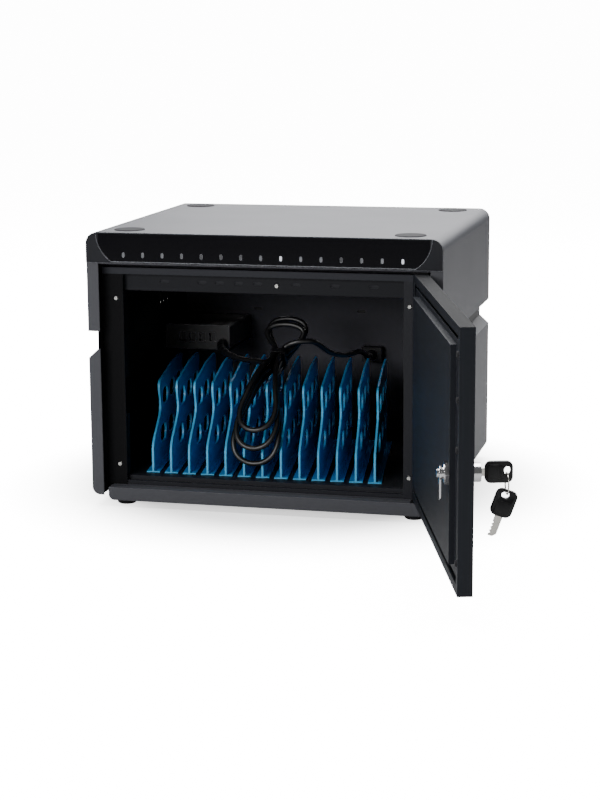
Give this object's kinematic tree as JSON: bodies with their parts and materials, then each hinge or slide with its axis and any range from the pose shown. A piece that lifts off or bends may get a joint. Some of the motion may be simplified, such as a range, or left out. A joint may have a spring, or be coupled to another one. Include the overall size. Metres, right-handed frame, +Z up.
{
  "type": "lockable device charging cabinet",
  "caption": "Lockable desktop charging cabinet: a hinged door with a cam lock and keys, upright wavy dividers on a tray, a tied lead and grip channels.",
  "frame": {"origin": "middle of the shell's footprint, on the surface that the feet stand on", "axes": "+X to the right seen from the front, +Y from the door to the back, +Z up"},
  "size_m": [0.5724, 0.7431, 0.343],
  "materials": {
    "shell": "satin powder coat",
    "rubber": "matte",
    "zinc": "satin zinc plate",
    "fascia_gloss": "high gloss",
    "window_clear": "clear light pipe",
    "board": "circuit board",
    "inside": "satin powder coat",
    "black_plastic": "moulded",
    "cord": "smooth jacket",
    "door": "satin powder coat",
    "chrome": "polished",
    "key_steel": "nickel plate",
    "divider_blue": "satin moulded"
  },
  "bodies": {
    "cabinet": {"top_shell": "shell", "skirt_left": "shell", "skirt_right": "shell", "base_pan": "shell", "feet": "rubber", "foot_screws": "zinc", "stacking_pads": "rubber", "fascia": "fascia_gloss", "indicator_windows": "window_clear", "led_board": "board", "ceiling": "inside", "wall_left": "inside", "wall_right": "inside", "back_panel": "inside", "power_inlet": "black_plastic", "floor_tray": "inside", "top_rail": "inside", "stile_left": "inside", "stile_right": "inside", "frame_screws": "zinc", "upper_pivot": "zinc", "lower_pivot": "zinc", "power_unit": "black_plastic", "unit_bracket": "inside", "cable_gland": "black_plastic", "cord_lead": "cord", "cord_hank": "cord", "cord_tail": "cord", "cord_tie": "black_plastic", "divider_01": "divider_blue", "divider_02": "divider_blue", "divider_03": "divider_blue", "divider_04": "divider_blue", "divider_05": "divider_blue", "divider_06": "divider_blue", "divider_07": "divider_blue", "divider_08": "divider_blue", "divider_09": "divider_blue", "divider_10": "divider_blue", "divider_11": "divider_blue", "divider_12": "divider_blue", "divider_13": "divider_blue"},
    "door": {"door_skin": "door", "door_liner": "door", "door_bumpers": "rubber", "lock_body": "chrome", "lock_nut": "chrome"},
    "lock_plug": {"lock_plug": "chrome", "lock_cam": "chrome", "cam_screw": "chrome"},
    "key": {"key_blade": "key_steel", "key_head": "black_plastic"},
    "key_ring": {"key_ring": "key_steel"},
    "spare_key": {"spare_blade": "key_steel", "spare_head": "black_plastic"}
  },
  "joints": [
    {"name": "door_hinge", "type": "hinge", "parent": "cabinet", "child": "door", "pos_m": [0.192, -0.177, 0], "axis": [0, 0, 1], "range_deg": [-107, 8]},
    {"name": "lock_turn", "type": "hinge", "parent": "door", "child": "lock_plug", "pos_m": [0.30344, -0.51415, 0.1456], "axis": [-0.9563, -0.2924, 0], "range_deg": [0, 90]},
    {"name": "key_slide", "type": "slide", "parent": "lock_plug", "child": "key", "axis": [0.9563, 0.2924, 0], "range_m": [0, 0.024]},
    {"name": "ring_swing", "type": "hinge", "parent": "key", "child": "key_ring", "pos_m": [0.34093, -0.50269, 0.1456], "axis": [-0.2924, 0.9563, 0], "range_deg": [-20, 10]},
    {"name": "spare_swing", "type": "hinge", "parent": "key_ring", "child": "spare_key", "pos_m": [0.34093, -0.50269, 0.12094], "axis": [-0.2924, 0.9563, 0], "range_deg": [-35, 8]}
  ]
}
